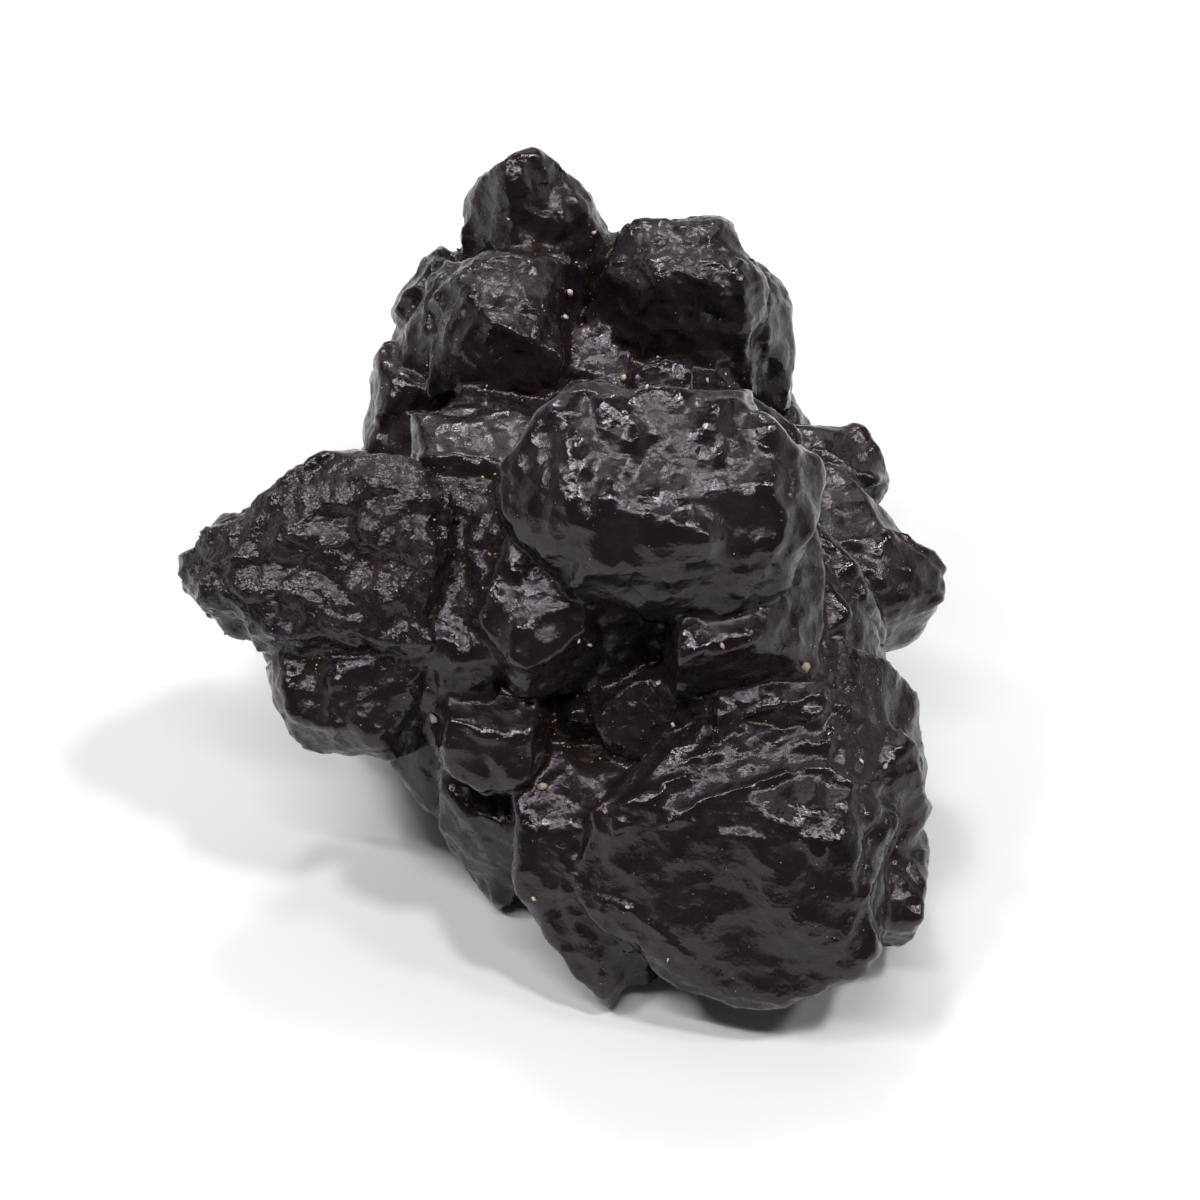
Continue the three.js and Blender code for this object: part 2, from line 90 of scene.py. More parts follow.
# Each crystal has its centre in mm, the way its long axis points (azimuth from the front towards +X, then
# elevation), its roll, its half lengths, and a habit or faces: azimuth, elevation, distance from the centre.
crystals = {
    "core": dict(at=(0, 4.5, 12.6), points=(0, 90), roll=0, half=(9, 9.5, 8.6), habit="block"),
    "heart": dict(at=(0.6, -3.6, 9.6), points=(0, 90), roll=0, half=(4.2, 2.8, 3.6), habit="block"),
    "frontLeftBlock": dict(at=(-1.3, -1.2, 23.2), points=(0, 20), roll=0, half=(4, 4.8, 5),
        faces=[(-4, -8, 4.9), (-40, 8, 4.4), (-45, 42, 4.4), (-15, 64, 5), (36, 50, 4.7), (-88, 5, 3.7),
               (-118, 27, 3.5), (150, 44, 5.5), (180, 48, 5.6), (-54, -33, 3.7), (-25, -46, 4.7),
               (0, -52, 5.6), (90, 0, 5.2), (180, 0, 5.5)]),
    "frontMiddleBlock": dict(at=(2.4, -2, 23), points=(0, 20), roll=0, half=(4, 4.8, 5),
        faces=[(2, -8, 5), (-6, 32, 5.1), (-8, 60, 4.7), (40, 46, 4.9), (-80, 10, 4.4), (180, 48, 5.3),
               (-21, -46, 5.6), (20, -46, 5.6), (80, 0, 4.4), (180, 0, 5.5)]),
    "frontRightBlock": dict(at=(6.6, -1.8, 22.6), points=(0, 15), roll=0, half=(4.4, 5.2, 5.2),
        faces=[(10, -8, 4.6), (6, 34, 4.5), (10, 62, 4.4), (46, -2, 4.6), (60, 38, 4.1), (86, 5, 4.1),
               (78, -13, 3.8), (139, 40, 4.1), (180, 48, 5.4), (29, -44, 4.7), (-21, -46, 5.2),
               (-90, 0, 4.2), (180, 0, 6)]),
    "bigBlock": dict(at=(7.4, -9.8, 7.2), points=(-10, 0), roll=10, half=(7.8, 6.8, 5.5),
        faces=[(-10, 20, 4.6), (-14, 69, 5.8), (-53, -34, 7.6), (40, -40, 7.8), (75, 4, 7), (-123, 31, 6.9),
               (-70, 20, 8.6), (55, 48, 7.1), (180, 0, 6.5), (-10, -30, 8.3), (0, -85, 5)]),
    "bigBlockRim": dict(at=(10.6, -6.6, 7.6), points=(80, 0), roll=10, half=(6, 6, 6),
        faces=[(90, 0, 6.2), (108, 19, 5.9), (127, 34, 6.2), (20, 72, 5.4), (77, -15, 6.4), (50, -38, 5.4),
               (30, 10, 4.6), (-10, 0, 4.8), (-90, 0, 5), (180, 0, 6), (0, -80, 5.4)]),
    "bigBlockCrown": dict(at=(8, -4.8, 12.6), points=(-10, 30), roll=0, half=(4.8, 3.8, 3.6),
        faces=[(-18, 8, 3.4), (-17, 48, 3.8), (-10, 80, 3.1), (-85, 20, 4.6), (75, 20, 4.8), (40, 45, 4.5),
               (180, 0, 4), (0, -80, 4)]),
    "bigBlockHeel": dict(at=(12.7, -8.4, 3.7), points=(80, -30), roll=20, half=(3.6, 3.6, 3.8),
        faces=[(82, -8, 3.5), (50, -45, 3.8), (0, -25, 3.6), (110, 40, 4), (0, -90, 4.1), (180, -20, 3.6),
               (-80, -20, 4), (30, 50, 4.4)]),
    "leftSpear": dict(at=(-12.8, 0.6, 16.7), points=(-94, -3), roll=45, half=(4.9, 4.9, 9.2),
        faces=[(-42, 46, 5.2), (-40, -28, 5.8), (-136, 40, 5), (-140, -35, 5.2), (-92, -6, 9.2),
               (-20, 62, 4.8), (-12, 35, 4.5), (-8, -28, 5.1), (-60, -38, 6.7), (170, 30, 4.8),
               (175, -35, 4.8), (-70, 12, 8.4), (70, 5, 6.2), (112, 22, 6.3)]),
    "leftLowBlock": dict(at=(-12.3, -2.6, 12), points=(-60, -10), roll=20, half=(3.9, 3.6, 4.2),
        faces=[(-20, 42, 3.6), (-18, -12, 3.9), (-85, 0, 4), (-60, -46, 4), (30, 5, 4.6), (0, -70, 3.5),
               (180, 0, 5), (90, 0, 5.4), (-120, 40, 4.4)]),
    "topBlock": dict(at=(-3.6, 20, 22.4), points=(170, 45), roll=20, half=(4, 4, 4.4),
        faces=[(-42, 12, 4.1), (42, 28, 4), (-92, 0, 3.9), (-116, 26, 4), (112, 22, 3.8), (175, 47, 4.4),
               (-150, 42, 4.2), (150, 40, 4.3), (0, -60, 5), (180, -10, 4.8)]),
    "upperLeftBlock": dict(at=(-4.9, 13, 22.2), points=(-5, 10), roll=4, half=(3.9, 3.9, 3.9),
        faces=[(-8, 8, 3.7), (-10, 68, 3.7), (180, 48, 3.9), (-62, 32, 3.8), (-90, 0, 3.9), (-116, 30, 3.9),
               (80, 8, 3.6), (58, 42, 3.9), (0, -48, 3.9), (180, 0, 4)]),
    "upperLeftPlate": dict(at=(-6.4, 14.3, 20.4), points=(-5, 10), roll=4, half=(4, 4.2, 3.8),
        faces=[(-10, 10, 3.5), (-90, 0, 3.9), (-113, 24, 3.9), (180, 48, 3.9), (-60, 40, 3.9), (0, 70, 3.5),
               (80, 10, 4), (0, -48, 3.6), (180, 0, 3)]),
    "upperRightBlock": dict(at=(4.1, 14.4, 22.4), points=(5, 8), roll=0, half=(4.6, 4.8, 4.2),
        faces=[(4, 2, 3.3), (0, 78, 5.1), (-105, 16, 4.4), (-50, 14, 4.1), (88, -5, 4.5), (105, 17, 4.5),
               (180, 48, 4.6), (62, 55, 5), (0, -55, 5), (60, 0, 4.6), (-40, 58, 5), (180, -20, 4.2)]),
    "upperRightBack": dict(at=(7.2, 16.2, 19.6), points=(90, 5), roll=0, half=(3.6, 4.2, 3.2),
        faces=[(90, 0, 3.1), (124, 31, 3.5), (180, 48, 3.9), (0, -48, 4.4), (20, 5, 3.5), (62, 18, 3.3),
               (0, 75, 3.7), (-90, 0, 4), (180, 0, 3.4)]),
    "leftBackHigh": dict(at=(-8.1, 17, 20.6), points=(-105, 30), roll=15, half=(2.2, 2.4, 2.3), habit="block"),
    "leftBackMiddle": dict(at=(-8.8, 15.4, 18.6), points=(-95, 25), roll=30, half=(2.3, 2.4, 2.4),
        habit="block"),
    "leftBackLow": dict(at=(-9.5, 12.6, 17.4), points=(-85, 15), roll=8, half=(2.6, 2.7, 2.6), habit="block"),
    "leftBackBase": dict(at=(-9.2, 11.4, 15), points=(-95, 0), roll=20, half=(3, 3.2, 3.1), habit="block"),
    "stepBlock": dict(at=(-6.2, 4.2, 20), points=(-10, 10), roll=0, half=(3, 2.6, 3),
        faces=[(-8, -4, 2.3), (-12, 36, 2.9), (-84, -8, 2.9), (-55, 45, 3.3), (0, -58, 3.4), (80, 0, 3.2),
               (180, 0, 3), (-10, 80, 2.5), (180, 45, 3)]),
    "centreBlock": dict(at=(-3, -4, 17.6), points=(0, 10), roll=0, half=(3.2, 3.5, 3.4),
        faces=[(30, -14, 3.2), (-50, -12, 3.2), (-12, 50, 2.9), (-20, -56, 3.9), (80, 12, 3.3), (180, 0, 4),
               (-95, 25, 3.3), (20, -44, 4.2)]),
    "innerLeftBlock": dict(at=(-7.2, -2.6, 14.8), points=(-10, 5), roll=5, half=(2.8, 3.6, 3.2),
        faces=[(-12, 5, 3.2), (-10, 60, 3.4), (-80, 0, 2.7), (75, 0, 2.8), (0, -60, 3.6), (180, 0, 4)]),
    "rightInnerBlock": dict(at=(7.2, -3.6, 16.8), points=(20, 0), roll=0, half=(3.6, 3.2, 3.6),
        faces=[(10, -10, 3.4), (58, 32, 3.2), (95, -10, 3.6), (10, -60, 3), (0, 70, 3.6), (-80, 0, 4.2),
               (180, 0, 4)]),
    "rightBackBlock": dict(at=(12.2, 11.4, 13.8), points=(90, 0), roll=10, half=(3, 2.7, 3.8),
        faces=[(90, 0, 3.4), (116, 26, 2.8), (180, 48, 2.5), (30, 66, 2.5), (25, 0, 2.9), (75, 42, 3.1),
               (0, -48, 2.6), (80, -36, 3.3), (180, 0, 3), (-90, 0, 5)]),
    "rightSpear": dict(at=(12.8, 5, 11.7), points=(90, -5), roll=30, half=(3.8, 3.8, 5),
        faces=[(40, 40, 3.5), (36, -22, 3.6), (128, 34, 4), (82, -9, 5.3), (54, -33, 4.6), (100, 12, 5.2),
               (150, -30, 4), (0, 75, 3.9), (0, -85, 4.6), (-90, 0, 5)]),
    "rightPlate": dict(at=(9.8, 0.6, 13.4), points=(75, 5), roll=10, half=(4.8, 4.8, 4.4),
        faces=[(117, 27, 3.9), (90, 0, 4.6), (84, -22, 5.7), (45, 12, 4), (20, 60, 4.2), (0, -10, 4.6),
               (60, -56, 5.4), (180, 0, 4.6), (-90, 0, 4)]),
    "rightPlateFront": dict(at=(9.2, -1.6, 13.2), points=(60, 5), roll=10, half=(4, 4.2, 3.6),
        faces=[(104, 18, 3.6), (80, -12, 4.1), (40, 8, 3.4), (20, 62, 3.8), (60, -50, 4.6), (180, 0, 4),
               (-90, 0, 4)]),
    "seamKnob": dict(at=(2.6, -4.6, 12.2), points=(0, 25), roll=20, half=(2.9, 2.3, 2.7), habit="block"),
    "lowSmallBlock": dict(at=(-5.4, -6.2, 11.6), points=(-10, 0), roll=0, half=(2.7, 2.6, 2.8),
        faces=[(-8, 22, 2.7), (-32, -40, 2.9), (30, -34, 3.1), (-80, 5, 2.6), (75, 5, 2.8), (0, -75, 2.9),
               (0, 80, 2.7), (180, 0, 3)]),
    "lowerSpear": dict(at=(-0.3, -9.6, 5.9), points=(10, -52), roll=0, half=(3.6, 3.6, 6.8),
        faces=[(-61, -28, 4.3), (-72, -19, 3.8), (-90, 0, 3.9), (-14, 20, 3), (32, 8, 3.7), (78, -13, 5.2),
               (-15, -50, 7.8), (35, -46, 8), (0, 78, 4.4), (180, 0, 4), (180, -60, 4.6), (0, -88, 5.6)]),
    "lowerLeftKnob": dict(at=(-4.8, -4.4, 4.8), points=(-30, -60), roll=0, half=(3.4, 3.6, 4.6),
        faces=[(-30, -8, 3.4), (-90, 0, 3.4), (-63, -26, 3.7), (0, -48, 5.7), (0, -88, 5.25), (40, -20, 3.8),
               (0, 60, 4.4), (180, 0, 4)]),
    "leftUnderKnob": dict(at=(-7.8, -0.6, 5.6), points=(-60, -50), roll=0, half=(3, 3.2, 3.6),
        faces=[(-92, 0, 3), (-60, -28, 3.2), (-40, 8, 3.3), (0, -48, 3.9), (0, -88, 4), (60, -10, 4),
               (0, 60, 4), (180, 0, 4)]),
    "topGapBlock": dict(at=(-0.6, 11.8, 18.6), points=(0, 60), roll=20, half=(2.8, 2.8, 3), habit="block"),
    "saddleKnob": dict(at=(3.2, 9.2, 21), points=(0, 50), roll=10, half=(1.7, 1.5, 1.6), habit="block"),
    "saddleBlockLeft": dict(at=(0.4, 5.2, 19.4), points=(-20, 50), roll=25, half=(2.9, 2.7, 3), habit="block"),
    "saddleBlockRight": dict(at=(6.4, 5.4, 18.8), points=(60, 50), roll=10, half=(3, 2.8, 3.1), habit="block"),
    "backTopBlock": dict(at=(2.6, 19.4, 18.6), points=(170, 35), roll=10, half=(3.2, 3.2, 3.6), habit="block"),
    "backSpear": dict(at=(-2.4, 19, 14), points=(185, 5), roll=40, half=(4.4, 4.4, 6.6), habit="spear"),
    "backLeftSpear": dict(at=(-9, 15, 9.6), points=(-150, -8), roll=45, half=(4, 4, 6.2), habit="spear"),
    "backRightBlock": dict(at=(6.2, 15.6, 11.8), points=(150, 0), roll=15, half=(4, 3.8, 4.4), habit="block"),
    "backLowBlock": dict(at=(-2.4, 13.2, 5), points=(175, -40), roll=25, half=(4.4, 4.2, 5), habit="block"),
    "backLowRight": dict(at=(7, 9.6, 4.8), points=(140, -45), roll=10, half=(4, 4, 4.8), habit="block"),
    "leftFoot": dict(at=(-7.6, 7.4, 5), points=(-110, -45), roll=30, half=(3.8, 3.8, 4.6), habit="block"),
    "rightFoot": dict(at=(9.2, 2, 6.2), points=(80, -40), roll=20, half=(3.6, 3.8, 4.4), habit="block"),
}

# How the crystals are shaped, and joined to one stone.
stoneShape = {
    "seed": 11,
    "edgeSharpness": 60,    # higher makes crisper crystal edges
    "layers": 7,            # stacked plates in each crystal
    "stepDepth": 0.13,      # how far a plate's rim may lie inside the crystal's, as a share
    "waver": 0.055,         # how uneven the plates' rims run
    "waverSize": 0.32,      # as a share of the crystal
    "largeFrom": 4.5,       # mm, half length above which a crystal counts as large
    "nearest": 1.9,         # half lengths from its centre within which a point may be on a crystal
    "fineness": 6,          # icosphere subdivisions of a large crystal
    "voxel": 0.145,         # mm, when the crystals are joined
    "quickVoxel": 1.7,
    "triangles": 196000,
}
# Small steps that run along the crystals' edges, like the rims of stacked sheets.
rims = {
    "from": (0.25, 0.8, 1.6),       # mm from the edge
    "height": 0.05,         # mm each
    "drop": 0.1,            # mm over which each falls
    "waver": 0.28,          # mm
    "waverSize": 1.4,       # mm
}
# Uneven growth on the crystals' faces, from the broadest to the finest.
relief = {
    "lumps": 0.12,          # mm, soft swellings
    "ledges": 0.14,         # mm, broad growth steps
    "ledgeLevels": 1.6,
    "plates": 0.05,         # slope of the hammered plates
    "plateSize": 2.3,       # mm
    "facets": 0.045,        # slope of the small facets on them
    "facetSize": 0.95,      # mm
    "patchSize": 4.5,       # mm, of the areas with more and with fewer facets
    "shingles": 0.05,       # mm, thin rounded sheets
    "shingleSize": 1.7,     # mm
    "shingleLevels": 2.2,
    "ripple": 0.012,        # mm
    "rippleSize": 0.42,     # mm
    "bendSize": 2.2,        # mm, of the waves that all of these follow
    "plateBend": 0.5,       # mm
    "facetBend": 0.3,       # mm
    "shingleBend": 0.9,     # mm
    "apart": 17.0,          # mm between the patterns of one crystal and the next, so that they differ
    "sunk": 0.1,            # mm that it is lowered, so that the stone keeps its size
    "seamLoss": 0.7,        # how much weaker it is in the seams
}
# How strongly each crystal's faces are hammered.
hammered = {
    "most": 1.0, "core": 2.2, "leftSpear": 2.4, "leftLowBlock": 1.5, "bigBlock": 0.7, "frontLeftBlock": 0.35,
    "frontMiddleBlock": 0.2, "frontRightBlock": 0.35, "centreBlock": 0.7, "lowSmallBlock": 0.8,
    "rightInnerBlock": 0.7, "stepBlock": 0.45, "innerLeftBlock": 0.9, "seamKnob": 1.6, "lowerSpear": 0.8,
    "upperRightBlock": 1.6, "upperLeftBlock": 1.4, "topBlock": 1.3,
}
# How grainy each crystal's faces are, from 0 to 1, which also sets how much painted sheen they get.
graininess = {
    "most": 0.22, "core": 0.8, "leftSpear": 1.0, "leftLowBlock": 0.5, "bigBlock": 0.4, "upperLeftBlock": 0.4,
    "seamKnob": 1.0, "topBlock": 0.4, "lowerSpear": 0.4, "upperRightBlock": 0.2, "rightPlate": 0.5,
    "frontLeftBlock": 0.12, "frontMiddleBlock": 0.1, "frontRightBlock": 0.12,
}
# What counts as a seam and as a worn crest: the rounds of smoothing that it is measured against, the depth or
# height in mm over which it goes from 0 to 1, and how much of that is left out.
seams = {"rounds": 10, "depth": 0.16, "from": 0.25}
wornCrests = {"rounds": 3, "height": 0.030, "from": 0.35}


def heading(azimuth, elevation):
    a, e = math.radians(azimuth), math.radians(elevation)
    return np.array([math.sin(a) * math.cos(e), -math.cos(a) * math.cos(e), math.sin(e)])


def crystalAxes(points, roll):
    along = heading(*points)
    a, r = math.radians(points[0]), math.radians(roll)
    flat = np.array([math.cos(a), math.sin(a), 0.0])
    across = flat * math.cos(r) + np.cross(along, flat) * math.sin(r)
    return np.array([across, np.cross(along, across), along])


signs = (-1, 1)
cubeNormals = [v for s in signs for v in ((s, 0, 0), (0, s, 0), (0, 0, s))]
cornerNormals = [(a, b, c) for a in signs for b in signs for c in signs]
spearNormals = [v for a in signs for c in signs for v in ((a, 0, 0.75 * c), (0, a, 0.75 * c))]
habits = {
    "block": [(n, 1.0) for n in cubeNormals] + [(n, 1.34) for n in cornerNormals],
    "spear": [(n, 0.8) for n in spearNormals] + [(n, 1.05) for n in cubeNormals],
}


# Outward normals and distances of a crystal's faces, in the frame where its half lengths are 1.
def crystalFaces(crystal, axes):
    normals, distances = [], []
    for normal, distance in habits.get(crystal.get("habit"), []):
        normals.append(np.array(normal, float) / np.linalg.norm(normal))
        distances.append(distance)
    for azimuth, elevation, distance in crystal.get("faces", []):
        normals.append((axes @ heading(azimuth, elevation)) * crystal["half"])
        distances.append(distance)
    return np.array(normals), np.array(distances)


# How far the crystal reaches along each direction, as the furthest of its stacked plates, and how far in mm
# each place lies from the nearest edge.
def crystalReach(directions, normals, distances, half, random):
    count = stoneShape["layers"]
    inset = random.random((count, len(distances))) * stoneShape["stepDepth"]
    inset[random.integers(0, count, len(distances)), np.arange(len(distances))] = 0
    dots = np.maximum(directions @ normals.T, 0)
    sharp = stoneShape["edgeSharpness"]
    reach = np.zeros(len(directions))
    for layer in inset:
        plate = ((dots / (distances * (1 - layer))) ** sharp).sum(axis=1) ** (-1 / sharp)
        reach = np.maximum(reach, plate)
    share = np.partition(dots / distances, -2, axis=1)
    return reach, (1 - share[:, -2] / share[:, -1]) * half.mean()


# Soft swellings, between -1 and 1.
def swell(p, phase):
    a = np.sin(0.95 * p[:, 0] + 1.6 * np.sin(0.55 * p[:, 1] + phase))
    b = np.sin(1.05 * p[:, 1] + 1.6 * np.sin(0.6 * p[:, 2] + 2 * phase))
    c = np.sin(0.9 * p[:, 2] + 1.6 * np.sin(0.5 * p[:, 0] + 3 * phase))
    return (a + b + c) / 3


# A value as flat steps with soft risers.
def terraced(value, low=0.35, high=0.65):
    level = np.floor(value)
    t = np.clip((value - level - low) / (high - low), 0, 1)
    return level + t * t * (3 - 2 * t)


def icosphere(fineness):
    mesh = bpy.data.meshes.new("ball")
    build = bmesh.new()
    bmesh.ops.create_icosphere(build, subdivisions=fineness, radius=1)
    build.to_mesh(mesh)
    build.free()
    points = np.empty(len(mesh.vertices) * 3)
    mesh.vertices.foreach_get("co", points)
    corners = np.empty(len(mesh.polygons) * 3, dtype=np.int64)
    mesh.polygons.foreach_get("vertices", corners)
    bpy.data.meshes.remove(mesh)
    return points.reshape(-1, 3), corners.reshape(-1, 3)


def newMesh(name, points, corners):
    mesh = bpy.data.meshes.new(name)
    mesh.vertices.add(len(points))
    mesh.vertices.foreach_set("co", np.ascontiguousarray(points, dtype=np.float32).ravel())
    mesh.loops.add(corners.size)
    mesh.loops.foreach_set("vertex_index", np.ascontiguousarray(corners, dtype=np.int32).ravel())
    mesh.polygons.add(len(corners))
    mesh.polygons.foreach_set("loop_start", np.arange(0, corners.size, 3, dtype=np.int32))
    mesh.update(calc_edges=True)
    piece = bpy.data.objects.new(name, mesh)
    bpy.context.scene.collection.objects.link(piece)
    return piece


def meshArrays(mesh):
    points = np.empty(len(mesh.vertices) * 3)
    mesh.vertices.foreach_get("co", points)
    normals = np.empty(len(mesh.vertices) * 3)
    mesh.vertices.foreach_get("normal", normals)
    edges = np.empty(len(mesh.edges) * 2, dtype=np.int64)
    mesh.edges.foreach_get("vertices", edges)
    return points.reshape(-1, 3), normals.reshape(-1, 3), edges.reshape(-1, 2)


# Every crystal on its own, in mm, in the part's frame.
def crystalSurfaces():
    allPoints, allCorners, frames = [], [], []
    balls = {n: icosphere(n) for n in (stoneShape["fineness"] - 1, stoneShape["fineness"])}
    start = 0
    for index, crystal in enumerate(crystals.values()):
        random = np.random.default_rng(stoneShape["seed"] * 100 + index)
        axes = crystalAxes(crystal["points"], crystal["roll"])
        normals, distances = crystalFaces(crystal, axes)
        half = np.array(crystal["half"], float)
        large = half.max() > stoneShape["largeFrom"]
        directions, corners = balls[stoneShape["fineness"] - (0 if large else 1)]
        directions = directions / np.linalg.norm(directions, axis=1)[:, None]
        size = stoneShape["waverSize"]
        waver = np.stack([softNoise(directions, size, 400 + 3 * index + k) for k in range(3)], axis=1)
        bent = directions + stoneShape["waver"] * waver
        reach, fromEdge = crystalReach(bent, normals, distances, half, random)
        p = directions * reach[:, None] * half
        height = swell(p, index)
        out = relief["lumps"] * height
        out += relief["ledges"] * terraced(relief["ledgeLevels"] * height) / relief["ledgeLevels"]
        fromEdge = fromEdge + rims["waver"] * softNoise(p, rims["waverSize"], 300 + index)
        for inward in rims["from"]:
            out -= rims["height"] * np.clip((inward - fromEdge) / rims["drop"] + 0.5, 0, 1)
        p *= (1 + out / np.linalg.norm(p, axis=1))[:, None]
        place = np.array(crystal["at"]) + drawingShift
        p = p @ axes + place
        p[:, 2] = np.maximum(p[:, 2], 0)
        allPoints.append(p)
        allCorners.append(corners + start)
        frames.append((axes, place))
        start += len(p)
    return np.vstack(allPoints), np.vstack(allCorners), frames


# A repeatable random value from 0 to 1 for each cell of a grid.
def hashed(cell, seed):
    x = cell[..., 0].astype(np.int64) * 73856093
    y = cell[..., 1].astype(np.int64) * 19349663
    z = cell[..., 2].astype(np.int64) * 83492791
    h = (x ^ y ^ z ^ (seed * 2654435761)) & 0xFFFFFFFF
    h = ((h ^ (h >> 15)) * 2246822519) & 0xFFFFFFFF
    h = ((h ^ (h >> 13)) * 3266489917) & 0xFFFFFFFF
    return ((h ^ (h >> 16)) & 0xFFFFFF) / 16777215.0


# Smooth noise between -1 and 1.
def softNoise(p, size, seed):
    q = p / size
    cell = np.floor(q)
    f = q - cell
    f = f * f * f * (f * (f * 6 - 15) + 10)
    total = np.zeros(len(p))
    for dx in (0, 1):
        for dy in (0, 1):
            for dz in (0, 1):
                weight = np.abs(1 - dx - f[:, 0]) * np.abs(1 - dy - f[:, 1]) * np.abs(1 - dz - f[:, 2])
                total += weight * hashed(cell + (dx, dy, dz), seed)
    return total * 2 - 1


# Flat plates, about one in each cell, each with a slope of its own: the height in cells. They differ in height
# by the spread, and meet over the blend, both in cells.
def slopedPlates(p, size, seed, spread=0.35, blend=0.12):
    q = p / size
    cell = np.floor(q)
    nearest, second = np.full(len(p), 9.0), np.full(len(p), 9.0)
    height, other = np.zeros(len(p)), np.zeros(len(p))
    for dx in (-1, 0, 1):
        for dy in (-1, 0, 1):
            for dz in (-1, 0, 1):
                c = cell + (dx, dy, dz)
                away = q - c - np.stack([hashed(c, seed + k) for k in range(3)], axis=1)
                slope = np.stack([hashed(c, seed + 3 + k) for k in range(3)], axis=1) * 2 - 1
                h = (away * slope).sum(axis=1) + spread * hashed(c, seed + 6)
                d = np.linalg.norm(away, axis=1)
                closer = d < nearest
                other = np.where(closer, height, np.where(d < second, h, other))
                second = np.where(closer, nearest, np.minimum(second, d))
                height = np.where(closer, h, height)
                nearest = np.minimum(nearest, d)
    own = np.clip((second - nearest) / blend, 0, 1)
    own = 0.5 + 0.5 * own * own * (3 - 2 * own)
    return height * own + other * (1 - own)


# The crystal that each point in mm lies on.
def owners(p):
    best = np.full(len(p), 9.0)
    owner = np.zeros(len(p), dtype=np.int64)
    sharp = stoneShape["edgeSharpness"]
    for index, crystal in enumerate(crystals.values()):
        axes = crystalAxes(crystal["points"], crystal["roll"])
        normals, distances = crystalFaces(crystal, axes)
        half = np.array(crystal["half"], float)
        away = p - (np.array(crystal["at"]) + drawingShift)
        near = np.flatnonzero((away * away).sum(axis=1) < (stoneShape["nearest"] * half.max()) ** 2)
        local = (away[near] @ axes.T) / half
        share = ((np.maximum(local @ normals.T, 0) / distances) ** sharp).sum(axis=1) ** (1 / sharp)
        off = (share - 1) * half.mean()
        closer = off < best[near]
        best[near[closer]] = off[closer]
        owner[near[closer]] = index
    return owner


# How hollow the surface is at each point, in mm: above 0 in the seams between crystals, below 0 on edges.
def hollows(p, normals, edges, rounds):
    count = np.bincount(edges.ravel(), minlength=len(p)).astype(float)
    a, b = edges[:, 0], edges[:, 1]

    def averaged(values):
        total = np.bincount(a, values[b], len(p)) + np.bincount(b, values[a], len(p))
        return total / np.maximum(count, 1)

    soft = p.T.copy()
    for _ in range(rounds):
        soft = np.array([averaged(axis) for axis in soft])
    deep = ((soft.T - p) * normals).sum(axis=1)
    for _ in range(2):
        deep = averaged(deep)
    return deep


# From 0 on open faces to 1 in the seams between crystals.
def creases(p, normals, edges):
    deep = hollows(p, normals, edges, seams["rounds"]) / seams["depth"]
    return np.clip(deep - seams["from"], 0, 1)


# From 0 on open faces to 1 on crests and edges, which are worn smooth.
def wornEdges(p, normals, edges):
    high = -hollows(p, normals, edges, wornCrests["rounds"]) / wornCrests["height"]
    return np.clip(high - wornCrests["from"], 0, 1)


# The fine relief in mm at each point of the joined stone.
def fineRelief(p, owner, crease, frames):
    axes = np.array([f[0] for f in frames])[owner]
    place = np.array([f[1] for f in frames])[owner]
    local = np.einsum("nij,nj->ni", axes, p - place) + owner[:, None] * relief["apart"]
    strength = np.array([hammered.get(name, hammered["most"]) for name in crystals])[owner]
    bend = np.stack([softNoise(local, relief["bendSize"], 31 + k) for k in range(3)], axis=1)
    patchy = 0.55 + 0.45 * softNoise(local, relief["patchSize"], 91)
    plates = slopedPlates(local + relief["plateBend"] * bend, relief["plateSize"], 51)
    out = relief["plates"] * relief["plateSize"] * plates
    facets = slopedPlates(local + relief["facetBend"] * bend, relief["facetSize"], 61)
    out += relief["facets"] * relief["facetSize"] * facets * patchy
    bent = local + relief["shingleBend"] * bend
    sheets = softNoise(bent, relief["shingleSize"], 5) + 0.5 * softNoise(bent, relief["shingleSize"] * 0.5, 6)
    levels = relief["shingleLevels"]
    out += relief["shingles"] * terraced(sheets * levels, 0.42, 0.58) / levels * 2
    out += relief["ripple"] * softNoise(local + relief["facetBend"] * bend, relief["rippleSize"], 77)
    return (out - relief["sunk"]) * strength * (1 - relief["seamLoss"] * crease)


